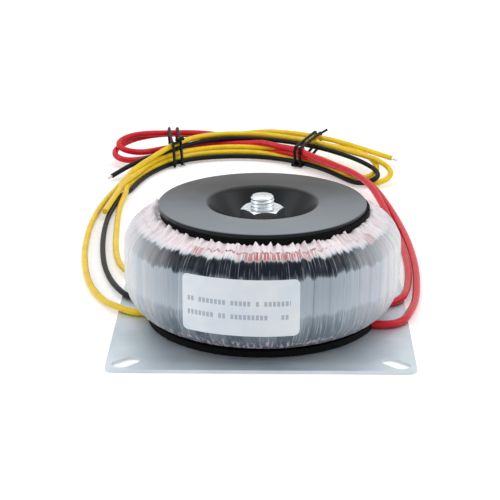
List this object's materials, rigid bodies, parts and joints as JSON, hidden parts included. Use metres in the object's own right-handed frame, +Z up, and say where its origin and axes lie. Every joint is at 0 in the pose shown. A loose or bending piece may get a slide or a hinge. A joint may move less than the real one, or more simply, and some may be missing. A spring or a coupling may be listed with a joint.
{
  "type": "toroidal transformer",
  "caption": "Chassis-mount toroidal power transformer: tape-wrapped ring bolted between a square slotted plate and a dished washer, with flying leads tied in a hank.",
  "frame": {"origin": "middle of the square base plate, on the surface its underside rests on", "axes": "+Z up along the centre bolt; +X to the right along the plate's front edge, where the label faces -Y; the leads lie behind, towards +Y"},
  "size_m": [0.1319, 0.2685, 0.044],
  "materials": {
    "zinc_plate": "zinc plated, satin",
    "zinc_fastener": "bright zinc plated",
    "pad_rubber": "matt",
    "core_steel": "strip-wound silicon steel",
    "insulation_film": "polyester film",
    "copper_wire": null,
    "clear_tape": "clear polyester tape, gloss, creased",
    "label_paper": "matt",
    "black_paint": "black, satin",
    "yellow_pvc": "PVC insulation, semi-gloss",
    "black_pvc": "PVC insulation, semi-gloss",
    "red_pvc": "PVC insulation, semi-gloss",
    "tinned_wire": "tinned copper strands",
    "tie_plastic": "plastic skin over a steel wire"
  },
  "bodies": {
    "root": {"base_plate": "zinc_plate", "hex_bolt": "zinc_fastener", "lower_pad": "pad_rubber", "core": "core_steel", "core_insulation": "insulation_film", "primary_winding": "copper_wire", "interlayer_insulation": "insulation_film", "secondary_winding": "copper_wire", "outer_wrap": "clear_tape", "label": "label_paper", "upper_pad": "pad_rubber", "top_dish": "black_paint", "hex_nut": "zinc_fastener", "lead_yellow_a": "yellow_pvc", "lead_yellow_b": "yellow_pvc", "lead_black": "black_pvc", "lead_red_a": "red_pvc", "lead_red_b": "red_pvc", "lead_hank": "yellow_pvc", "lead_tips": "tinned_wire", "twist_tie_left": "tie_plastic", "twist_tie_right": "tie_plastic"}
  },
  "joints": []
}
